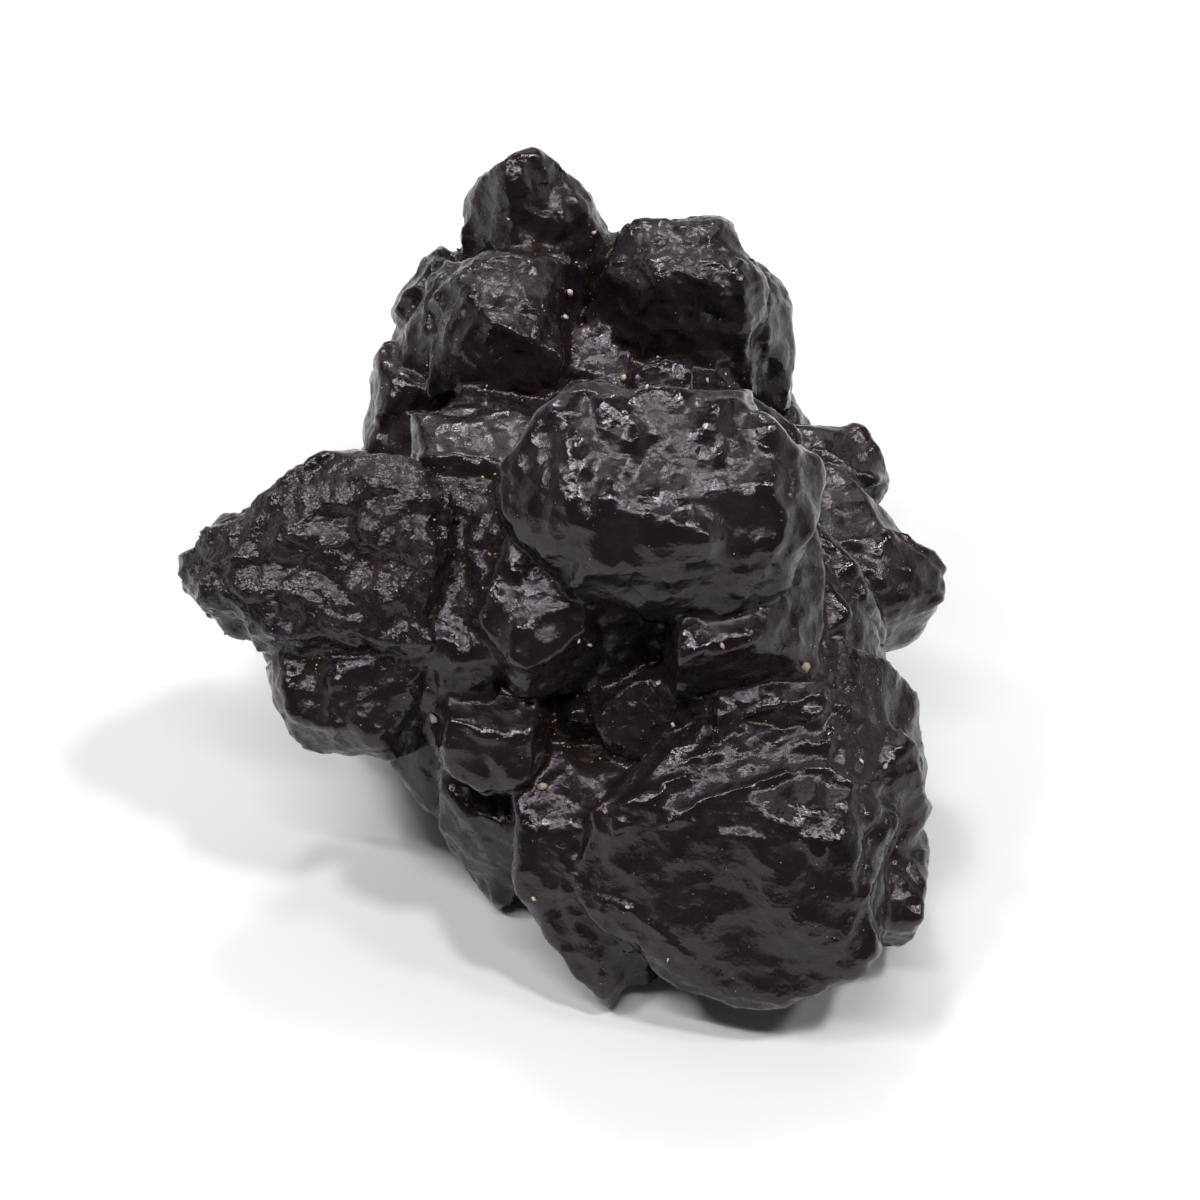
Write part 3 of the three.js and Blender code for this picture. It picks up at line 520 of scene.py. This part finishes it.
# Crests and steps that show singly: how the names of the crystals they are on start, pixels of the photograph
# along them, width and height in mm. A crest is raised on both sides, a step drops away on the left of its line.
tracedLines = {
    "crests": [
        ("bigBlock", [(660, 826), (682, 818), (700, 801), (740, 790), (790, 773), (828, 768), (852, 786),
                      (876, 786)], 0.22, 0.35),
        ("bigBlock", [(572, 862), (600, 846), (622, 826)], 0.35, 0.19),
        ("bigBlock", [(640, 802), (700, 772)], 0.28, 0.20),
        ("bigBlock", [(676, 768), (730, 742)], 0.26, 0.18),
        ("bigBlock", [(722, 760), (800, 730)], 0.26, 0.19),
        ("bigBlock", [(790, 748), (850, 738)], 0.26, 0.16),
        ("bigBlock", [(826, 700), (868, 722)], 0.28, 0.19),
        ("bigBlock", [(706, 728), (762, 710), (820, 696)], 0.24, 0.24),
        ("bigBlock", [(616, 827), (650, 820), (658, 800), (666, 784)], 0.30, 0.23),
        ("bigBlock", [(760, 806), (792, 830), (822, 852)], 0.48, 0.27),
        ("bigBlock", [(740, 840), (766, 862)], 0.42, 0.18),
        ("bigBlock", [(704, 776), (750, 765)], 0.26, 0.16),
        ("bigBlock", [(600, 868), (640, 874), (672, 862)], 0.5, 0.14),
        ("bigBlock", [(700, 880), (738, 874)], 0.4, 0.11),
        ("bigBlock", [(690, 920), (735, 905)], 0.45, 0.11),
        ("bigBlock", [(792, 800), (822, 808), (850, 800)], 0.4, 0.16),
        ("bigBlock", [(655, 880), (720, 940), (790, 975)], 1.2, 0.08),
        ("front", [(636, 440), (622, 462), (604, 494)], 0.55, 0.41),
        ("front", [(737, 440), (727, 462), (714, 492)], 0.5, 0.41),
        ("front", [(515, 470), (532, 520), (560, 560)], 0.35, 0.12),
        ("front", [(500, 490), (520, 540)], 0.30, 0.09),
        ("front", [(796, 452), (790, 500), (774, 556), (740, 600)], 0.35, 0.16),
        ("front", [(778, 470), (764, 530), (735, 590)], 0.35, 0.11),
        ("front", [(590, 520), (650, 545), (700, 540)], 0.9, 0.11),
        ("leftSpear", [(158, 588), (215, 600), (300, 596), (402, 590)], 0.7, 0.30),
        ("leftSpear", [(345, 500), (385, 470)], 0.5, 0.27),
        ("leftSpear", [(372, 568), (412, 528)], 0.5, 0.27),
        ("leftSpear", [(180, 612), (222, 648), (262, 666)], 0.3, 0.16),
        ("leftSpear", [(172, 628), (210, 662)], 0.3, 0.14),
        ("leftLowBlock", [(338, 664), (362, 640), (410, 602)], 0.35, 0.22),
        ("leftLowBlock", [(320, 690), (350, 672), (384, 664)], 0.35, 0.16),
        ("leftLowBlock", [(285, 690), (300, 735)], 0.4, 0.14),
        ("upperRight", [(616, 262), (662, 257), (706, 262), (744, 262)], 0.22, 0.20),
        ("upperRight", [(680, 271), (706, 281)], 0.25, 0.27),
        ("upperRight", [(640, 310), (652, 296), (662, 284)], 0.4, 0.32),
        ("upperRight", [(727, 340), (746, 320)], 0.35, 0.27),
        ("upperRight", [(752, 264), (767, 330), (754, 396)], 0.25, 0.27),
        ("upperRight", [(738, 268), (750, 330), (738, 384)], 0.25, 0.20),
        ("upperRight", [(600, 330), (640, 345)], 0.5, 0.24),
        ("upperLeft", [(488, 312), (520, 338)], 0.45, 0.38),
        ("upperLeft", [(458, 346), (482, 366)], 0.4, 0.34),
        ("upperLeft", [(524, 288), (532, 304)], 0.35, 0.32),
        ("upperLeft", [(455, 252), (432, 300), (424, 350), (432, 400)], 0.28, 0.32),
        ("upperLeft", [(470, 290), (452, 330)], 0.4, 0.27),
        ("leftBack", [(442, 244), (416, 290), (404, 350), (410, 404)], 0.26, 0.19),
        ("topBlock", [(532, 158), (556, 196), (560, 234)], 0.5, 0.37),
        ("topBlock", [(575, 190), (590, 225), (588, 250)], 0.4, 0.27),
        ("centreBlock", [(522, 627), (566, 607)], 0.25, 0.16),
        ("centreBlock", [(462, 612), (502, 656), (532, 700)], 0.25, 0.14),
        ("centreBlock", [(476, 566), (520, 560)], 0.4, 0.11),
        ("stepBlock", [(402, 458), (450, 456), (504, 458)], 0.2, 0.14),
        ("stepBlock", [(480, 400), (496, 456)], 0.35, 0.12),
        ("rightInnerBlock", [(690, 612), (760, 596), (818, 570)], 0.35, 0.16),
        ("rightInnerBlock", [(700, 650), (760, 640), (806, 610)], 0.5, 0.11),
        ("rightPlate", [(830, 540), (862, 580), (884, 640), (896, 690)], 0.26, 0.19),
        ("rightPlate", [(812, 560), (842, 600), (866, 660), (880, 700)], 0.26, 0.16),
        ("rightPlate", [(796, 590), (822, 630), (850, 690)], 0.26, 0.14),
        ("rightSpear", [(900, 520), (944, 566)], 0.35, 0.16),
        ("rightSpear", [(850, 560), (910, 600)], 0.5, 0.16),
        ("rightBack", [(812, 436), (850, 470), (888, 486)], 0.4, 0.16),
        ("lowSmallBlock", [(452, 716), (480, 736), (540, 740)], 0.3, 0.14),
        ("lowerSpear", [(560, 850), (575, 920), (604, 990)], 0.4, 0.16),
        ("lowerSpear", [(520, 830), (545, 900)], 0.4, 0.14),
        ("seamKnob", [(640, 690), (680, 700)], 0.5, 0.11),
    ],
    "steps": [
        ("bigBlock", [(830, 712), (760, 735), (700, 770), (640, 800)], 0.16, 0.18),
        ("bigBlock", [(822, 694), (762, 712), (706, 730), (690, 752)], 0.14, 0.18),
        ("bigBlock", [(884, 790), (890, 818), (884, 860), (864, 904), (844, 948)], 0.16, 0.20),
        ("bigBlock", [(574, 872), (604, 896), (636, 908), (684, 948)], 0.16, 0.24),
        ("bigBlock", [(576, 892), (612, 918)], 0.14, 0.16),
        ("front", [(800, 490), (720, 502), (640, 500), (556, 506)], 0.2, 0.08),
        ("leftSpear", [(415, 455), (340, 462), (296, 484), (244, 520), (180, 545)], 0.16, 0.16),
        ("leftSpear", [(400, 560), (350, 540), (300, 556), (240, 560)], 0.14, 0.20),
    ],
    "decay": 1.5,           # mm that a step takes to fade
    "wander": (0.14, 0.05),         # mm, how unevenly the lines run, in long and in short waves
}


# Where points in mm show in the photograph, and how many pixels a millimetre has there.
def photoPixels(p):
    place, away, up = cameraPlace()
    q = p - place
    scale = cameraSetup["focalPx"] / -(q @ away)
    return photoPx / 2 + q[:, 0] * scale, photoPx / 2 - (q @ up) * scale, scale


# Distance in mm from a traced line, and the same with its sign, above 0 on the left of the line as it runs.
def fromLine(x, y, scale, line):
    best, signed = np.full(len(x), 1e9), np.zeros(len(x))
    for (x0, y0), (x1, y1) in zip(line[:-1], line[1:]):
        dx, dy = x1 - x0, y1 - y0
        along = np.clip(((x - x0) * dx + (y - y0) * dy) / (dx * dx + dy * dy), 0, 1)
        away = np.hypot(x - x0 - along * dx, y - y0 - along * dy) / scale
        side = np.sign((y - y0) * dx - (x - x0) * dy)
        signed = np.where(away < best, -side * away, signed)
        best = np.minimum(best, away)
    return best, signed


# The height in mm that the traced lines add at each point that the camera sees.
def tracedRelief(p, normals, owner):
    place, _, _ = cameraPlace()
    facing = ((place - p) * normals).sum(axis=1) > 0
    x, y, scale = photoPixels(p)
    long, short = tracedLines["wander"]
    wander = softNoise(p, 0.9, 210) * long + softNoise(p, 0.35, 211) * short
    strength = 0.75 + 0.5 * softNoise(p, 0.8, 212)
    out = np.zeros(len(p))

    def pointsOn(start):
        return np.flatnonzero(np.array([name.startswith(start) for name in crystals])[owner] & facing)

    for name, line, width, height in tracedLines["crests"]:
        on = pointsOn(name)
        far, _ = fromLine(x[on], y[on], scale[on], line)
        out[on] += height * strength[on] * np.exp(-((far + wander[on]) / width) ** 2)
    for name, line, width, height in tracedLines["steps"]:
        on = pointsOn(name)
        far, side = fromLine(x[on], y[on], scale[on], line)
        rise = np.clip(-(side + wander[on]) / width + 0.5, 0, 1)
        rise = rise * rise * (3 - 2 * rise)
        out[on] += height * strength[on] * rise * np.exp(-far / tracedLines["decay"])
    return out


# One closed skin over everything in the piece, which goes.
def remeshed(piece, voxel):
    join = piece.modifiers.new("join", "REMESH")
    join.mode = "VOXEL"
    join.voxel_size = voxel
    mesh = bpy.data.meshes.new_from_object(piece.evaluated_get(bpy.context.evaluated_depsgraph_get()))
    bpy.data.objects.remove(piece)
    return mesh


# The mesh as a piece with no more than so many triangles.
def thinned(mesh, name, triangles):
    piece = bpy.data.objects.new(name, mesh)
    bpy.context.scene.collection.objects.link(piece)
    now = sum(len(f.vertices) - 2 for f in mesh.polygons)
    if now > triangles:
        thin = piece.modifiers.new("thin", "DECIMATE")
        thin.ratio = triangles / now
        thinner = bpy.data.meshes.new_from_object(piece.evaluated_get(bpy.context.evaluated_depsgraph_get()))
        piece.modifiers.clear()
        piece.data = thinner
    return piece


def keepOnPoints(mesh, name, values):
    mesh.attributes.new(name, "FLOAT", "POINT").data.foreach_set("value", values)


def buildStone():
    points, corners, frames = crystalSurfaces()
    voxel = stoneShape["voxel"] * 1
    mesh = remeshed(newMesh("crystal_source", points, corners), voxel)
    print("joined crystals:", len(mesh.vertices), "points")
    p, normals, edges = meshArrays(mesh)
    crease = creases(p, normals, edges)
    owner = owners(p)
    out = fineRelief(p, owner, crease, frames) + tracedRelief(p, normals, owner)
    p += normals * out[:, None]
    p[:, 2] = np.maximum(p[:, 2], 0)
    mesh.vertices.foreach_set("co", p.ravel())
    mesh.update()
    stone = thinned(mesh, "goethite_crystals", stoneShape["triangles"])
    mesh = stone.data
    p, normals, edges = meshArrays(mesh)
    crease = creases(p, normals, edges)
    grainy = np.array([graininess.get(name, graininess["most"]) for name in crystals])[owners(p)]
    keepOnPoints(mesh, "crease", crease)
    keepOnPoints(mesh, "worn", wornEdges(p, normals, edges))
    keepOnPoints(mesh, "grainy", grainy * (0.75 + 0.5 * softNoise(p, 2.0, 310)))
    mesh.vertices.foreach_set("co", (p * metresPerMm).ravel())
    mesh.shade_smooth()
    mesh.update()
    print("stone:", len(mesh.polygons), "faces")
    return stone, p, normals, crease


# Sand grains in the seams, and dust.
sandGrains = {
    "seed": 5,
    "seamCount": 300,       # small grains in the seams that face up
    "seamFrom": 0.3,        # how deep in a seam they start, from 0 to 1
    "seamFacing": 0.1,      # how far up a place must face, 1 being level
    "seamSize": (0.06, 0.2),        # mm
    "dustCount": 1700,      # specks anywhere that faces up
    "dustFacing": 0.15,
    "dustSize": (0.035, 0.08),      # mm
    "sunk": 0.3,            # share of a grain inside the stone
    "corners": (0.5, 1.2),          # how far a grain's corners reach
    "stretch": ((0.8, 0.5, 0.4), (1.35, 1.0, 0.8)),
    "seenScale": 1.25,      # makes up for their uneven corners
    # pixel of the photograph and size in mm of each grain that shows singly
    "seen": [
        (436, 717, 0.62), (567, 292, 0.5), (564, 317, 0.34), (593, 233, 0.3), (623, 380, 0.42), (647, 388, 0.3),
        (707, 382, 0.34), (578, 640, 0.3), (589, 644, 0.26), (723, 645, 0.3), (804, 667, 0.5), (542, 788, 0.5),
        (885, 766, 0.42), (861, 762, 0.3), (673, 724, 0.3), (628, 907, 0.26), (534, 898, 0.3), (668, 959, 0.22),
        (648, 423, 0.2), (509, 219, 0.22),
    ],
}


def buildGrains(stone, p, normals, crease):
    random = np.random.default_rng(sandGrains["seed"])
    tree = BVHTree.FromObject(stone, bpy.context.evaluated_depsgraph_get())
    places = []
    for x, y, size in sandGrains["seen"]:
        start, way = pixelRay(x, y)
        hit, normal, _, _ = tree.ray_cast(Vector(start * metresPerMm), Vector(way))
        if hit is not None:
            size *= sandGrains["seenScale"]
            places.append((np.array(hit) / metresPerMm, np.array(normal), size))
    up = normals[:, 2]
    inSeam = np.flatnonzero((crease > sandGrains["seamFrom"]) & (up > sandGrains["seamFacing"]))
    for i in random.choice(inSeam, sandGrains["seamCount"], replace=False):
        places.append((p[i], normals[i], random.uniform(*sandGrains["seamSize"])))
    facingUp = np.flatnonzero(up > sandGrains["dustFacing"])
    for i in random.choice(facingUp, sandGrains["dustCount"], replace=False):
        places.append((p[i], normals[i], random.uniform(*sandGrains["dustSize"])))
    ball, faces = icosphere(1)
    points, corners, start = [], [], 0
    for place, normal, size in places:
        turn = np.linalg.qr(random.normal(size=(3, 3)))[0]
        shape = ball * random.uniform(*sandGrains["corners"], (len(ball), 1))
        shape *= random.uniform(*sandGrains["stretch"])
        at = place + normal * size * (0.5 - sandGrains["sunk"])
        q = shape @ turn * size * 0.5 + at
        q[:, 2] = np.maximum(q[:, 2], 0.002)    # just clear of the floor
        points.append(q * metresPerMm)
        corners.append(faces + start)
        start += len(ball)
    grains = newMesh("sand_grains", np.vstack(points), np.vstack(corners))
    print("sand grains:", len(places))
    return grains


# Materials, from short functions that each make one node.
def newMaterial(name):
    material = bpy.data.materials.new(name)
    material.use_nodes = True
    nodes = material.node_tree.nodes
    return material, nodes, material.node_tree.links, nodes["Principled BSDF"]


def noiseNode(nodes, links, coordinates, scale, detail, rough=0.5):
    noise = nodes.new("ShaderNodeTexNoise")
    noise.inputs["Scale"].default_value = scale
    noise.inputs["Detail"].default_value = detail
    noise.inputs["Roughness"].default_value = rough
    links.new(coordinates, noise.inputs["Vector"])
    return noise.outputs["Fac"]


def cellsNode(nodes, links, coordinates, scale):
    cells = nodes.new("ShaderNodeTexVoronoi")
    cells.inputs["Scale"].default_value = scale
    links.new(coordinates, cells.inputs["Vector"])
    return cells.outputs["Distance"]


def attributeValue(nodes, name):
    node = nodes.new("ShaderNodeAttribute")
    node.attribute_name = name
    return node.outputs["Fac"]


def ramp(nodes, links, value, stops):
    node = nodes.new("ShaderNodeValToRGB")
    for element, (position, colour) in zip(node.color_ramp.elements, (stops[0], stops[-1])):
        element.position = position
        element.color = (*colour, 1)
    for position, colour in stops[1:-1]:
        node.color_ramp.elements.new(position).color = (*colour, 1)
    links.new(value, node.inputs["Fac"])
    return node.outputs["Color"]


def ranged(nodes, links, value, low, high, outLow, outHigh):
    node = nodes.new("ShaderNodeMapRange")
    node.inputs["From Min"].default_value = low
    node.inputs["From Max"].default_value = high
    node.inputs["To Min"].default_value = outLow
    node.inputs["To Max"].default_value = outHigh
    links.new(value, node.inputs["Value"])
    return node.outputs["Result"]


def mixed(nodes, links, factor, a, b):
    node = nodes.new("ShaderNodeMix")
    node.data_type = "RGBA"
    for socket, value in ((node.inputs["Factor"], factor), (node.inputs["A"], a), (node.inputs["B"], b)):
        if isinstance(value, bpy.types.NodeSocket):
            links.new(value, socket)
        else:
            socket.default_value = (*value, 1) if isinstance(value, tuple) else value
    return node.outputs["Result"]


def reckoned(nodes, links, operation, a, b):
    node = nodes.new("ShaderNodeMath")
    node.operation = operation
    node.use_clamp = True
    links.new(a, node.inputs[0])
    links.new(b, node.inputs[1])
    return node.outputs["Value"]


# A bump of a height in metres, on the one under it.
def bumped(nodes, links, height, distance, strength, under=None):
    bump = nodes.new("ShaderNodeBump")
    bump.inputs["Distance"].default_value = distance
    links.new(height, bump.inputs["Height"])
    if isinstance(strength, bpy.types.NodeSocket):
        links.new(strength, bump.inputs["Strength"])
    else:
        bump.inputs["Strength"].default_value = strength
    if under is not None:
        links.new(under, bump.inputs["Normal"])
    return bump.outputs["Normal"]


stoneLook = {
    "dark": (0.0085, 0.0060, 0.0072),
    "light": (0.0142, 0.0102, 0.0121),
    "toneScale": 260,
    "rust": (0.014, 0.0068, 0.0052),    # thin iron-red film in the seams
    "rustShare": 0.85,
    "sheenFlake": (0.030, 0.026, 0.030),     # painted sheen: paler flakes on the grainy faces, in place of their glints of light
    "sheenFlakeScale": 1900,
    "sheenFlakeShare": 0.8,
    "roughness": (0.21, 0.37),
    "roughnessScale": 1500,
    "polish": 0.21,         # how much smoother crests and edges are
    "glint": 0.15,          # how much smoother the grainy faces are
    "ior": 1.43,
    "sheen": (1.0, 0.9, 1.0),       # tint of the reflections
    # height in m, strength and scale of each bump, from the lowest up
    "waves": (0.000038, 0.5),       # at roughnessScale
    "pits": (0.000019, 0.55, 3600),
    "grains": (0.00010, 2600),      # its strength is each face's graininess
    "dents": (0.00020, 0.5, 1100),
    "dust": (0.000019, 0.8, 5200),
}


def stoneColour(nodes, links, coordinates, grainy):
    tone = noiseNode(nodes, links, coordinates, stoneLook["toneScale"], 5)
    colour = ramp(nodes, links, tone, [(0.3, stoneLook["dark"]), (0.7, stoneLook["light"])])
    inSeam = ranged(nodes, links, attributeValue(nodes, "crease"), 0.05, 0.6, 0.0, stoneLook["rustShare"])
    colour = mixed(nodes, links, inSeam, colour, stoneLook["rust"])
    # Painted sheen: the grainy faces get paler flakes in place of their glints of light.
    sheenFlakes = noiseNode(nodes, links, coordinates, stoneLook["sheenFlakeScale"], 4, 0.65)
    sheenFlakes = ranged(nodes, links, sheenFlakes, 0.44, 0.62, 0.0, 1.0)
    share = ranged(nodes, links, grainy, 0.35, 1.0, 0.0, stoneLook["sheenFlakeShare"])
    return mixed(nodes, links, reckoned(nodes, links, "MULTIPLY", sheenFlakes, share), colour, stoneLook["sheenFlake"])


def stoneRoughness(nodes, links, waves, grainy):
    rough = ranged(nodes, links, waves, 0.3, 0.7, *stoneLook["roughness"])
    polish = ranged(nodes, links, attributeValue(nodes, "worn"), 0.0, 1.0, 0.0, stoneLook["polish"])
    rough = reckoned(nodes, links, "SUBTRACT", rough, polish)
    glint = ranged(nodes, links, grainy, 0.3, 1.0, 0.0, stoneLook["glint"])
    return reckoned(nodes, links, "SUBTRACT", rough, glint)


def stoneBumps(nodes, links, coordinates, waves, grainy):
    height, strength = stoneLook["waves"]
    normal = bumped(nodes, links, waves, height, strength)
    height, strength, scale = stoneLook["pits"]
    normal = bumped(nodes, links, cellsNode(nodes, links, coordinates, scale), height, strength, normal)
    height, scale = stoneLook["grains"]
    grains = noiseNode(nodes, links, coordinates, scale, 3, 0.55)
    normal = bumped(nodes, links, grains, height, grainy, normal)
    height, strength, scale = stoneLook["dents"]
    normal = bumped(nodes, links, cellsNode(nodes, links, coordinates, scale), height, strength, normal)
    height, strength, scale = stoneLook["dust"]
    return bumped(nodes, links, noiseNode(nodes, links, coordinates, scale, 4, 0.6), height, strength, normal)


def stoneMaterial():
    material, nodes, links, shader = newMaterial("goethite_stone")
    coordinates = nodes.new("ShaderNodeTexCoord").outputs["Object"]
    waves = noiseNode(nodes, links, coordinates, stoneLook["roughnessScale"], 6, 0.6)
    grainy = attributeValue(nodes, "grainy")
    links.new(stoneColour(nodes, links, coordinates, grainy), shader.inputs["Base Color"])
    links.new(stoneRoughness(nodes, links, waves, grainy), shader.inputs["Roughness"])
    links.new(stoneBumps(nodes, links, coordinates, waves, grainy), shader.inputs["Normal"])
    shader.inputs["IOR"].default_value = stoneLook["ior"]
    shader.inputs["Specular Tint"].default_value = (*stoneLook["sheen"], 1)
    return material


sandLook = {
    "dark": (0.22, 0.15, 0.10),
    "pale": (0.62, 0.55, 0.45),
    "toneScale": 900,
    "roughness": 0.75,
    "bump": (0.00003, 0.4, 9000),       # height in m, strength, scale
}


def sandMaterial():
    material, nodes, links, shader = newMaterial("pale_sand")
    coordinates = nodes.new("ShaderNodeTexCoord").outputs["Object"]
    tone = noiseNode(nodes, links, coordinates, sandLook["toneScale"], 3)
    colour = ramp(nodes, links, tone, [(0.35, sandLook["dark"]), (0.6, sandLook["pale"])])
    links.new(colour, shader.inputs["Base Color"])
    shader.inputs["Roughness"].default_value = sandLook["roughness"]
    height, strength, scale = sandLook["bump"]
    normal = bumped(nodes, links, noiseNode(nodes, links, coordinates, scale, 3), height, strength)
    links.new(normal, shader.inputs["Normal"])
    return material


# Floor and lights.
studio = {
    "floorSize": 1.6,       # m
    "floorFront": 0.08,     # m that the white sheet goes on in front of the stone
    "floorColour": (0.74, 0.74, 0.75),
    "floorRoughness": 0.9,
    "floorShine": 0.1,
    "horizon": 0.85,        # brightness low down, at the sides and the back
    "ceiling": 0.03,        # and high up
    "between": (0.12, 0.62),        # heights over which it fades
    "front": 0.12,          # share of it that is left towards the front
    "turn": (-0.6, 0.1),            # how far forward that share starts and ends
    "centre": (0, 0, 0.012),        # m, what the lights point at
    # azimuth from the front towards +X, elevation, distance in m, size in m, watts
    "lights": {
        "key_right": (60, 64, 0.42, (0.04, 0.04), 0.7),
        "front_strip": (-14, 68, 0.42, (0.22, 0.018), 0.62),
        "side_right": (78, 47, 0.42, (0.04, 0.04), 0.3),
        "lamp_back": (188, 58, 0.42, (0.05, 0.05), 0.45),
        "panel_back": (182, 57, 0.5, (0.56, 0.36), 0.9),
        "small_left": (-70, 58, 0.42, (0.08, 0.06), 0.62),
    },
}


def addFloor():
    half = studio["floorSize"] / 2
    near = -studio["floorFront"]
    points = np.array([(-half, near, 0), (half, near, 0), (half, half, 0), (-half, half, 0)], float)
    floor = newMesh("white_floor", points, np.array([(0, 1, 2), (0, 2, 3)]))
    material, _, _, shader = newMaterial("white_card")
    shader.inputs["Base Color"].default_value = (*studio["floorColour"], 1)
    shader.inputs["Roughness"].default_value = studio["floorRoughness"]
    shader.inputs["Specular IOR Level"].default_value = studio["floorShine"]
    floor.data.materials.append(material)


def addLights():
    centre = Vector(studio["centre"])
    for name, (azimuth, elevation, distance, size, power) in studio["lights"].items():
        data = bpy.data.lights.new(name, "AREA")
        data.shape = "RECTANGLE"
        data.size, data.size_y = size
        data.energy = power
        light = bpy.data.objects.new(name, data)
        way = Vector(heading(azimuth, elevation))
        light.location = centre + way * distance
        light.rotation_euler = way.to_track_quat("Z", "Y").to_euler()
        bpy.context.scene.collection.objects.link(light)


def addWorld():
    world = bpy.data.worlds.new("studio_world")
    world.use_nodes = True
    nodes, links = world.node_tree.nodes, world.node_tree.links
    split = nodes.new("ShaderNodeSeparateXYZ")
    links.new(nodes.new("ShaderNodeTexCoord").outputs["Generated"], split.inputs["Vector"])
    low, high = studio["between"]
    tones = [(low, (studio["horizon"],) * 3), (high, (studio["ceiling"],) * 3)]
    tone = ramp(nodes, links, split.outputs["Z"], tones)
    links.new(tone, nodes["Background"].inputs["Color"])
    turned = ranged(nodes, links, split.outputs["Y"], *studio["turn"], studio["front"], 1.0)
    links.new(turned, nodes["Background"].inputs["Strength"])
    bpy.context.scene.world = world


addCamera()
print("camera ready")
stone, stonePoints, stoneNormals, stoneCrease = buildStone()
stone.data.materials.append(stoneMaterial())
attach(stone, "root")
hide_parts("crystal_cluster")
grains = buildGrains(stone, stonePoints, stoneNormals, stoneCrease)
grains.data.materials.append(sandMaterial())
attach(grains, "root")
addFloor()
addLights()
addWorld()
bpy.context.scene.view_settings.view_transform = "Standard"
print("stone, sand, floor and lights ready")
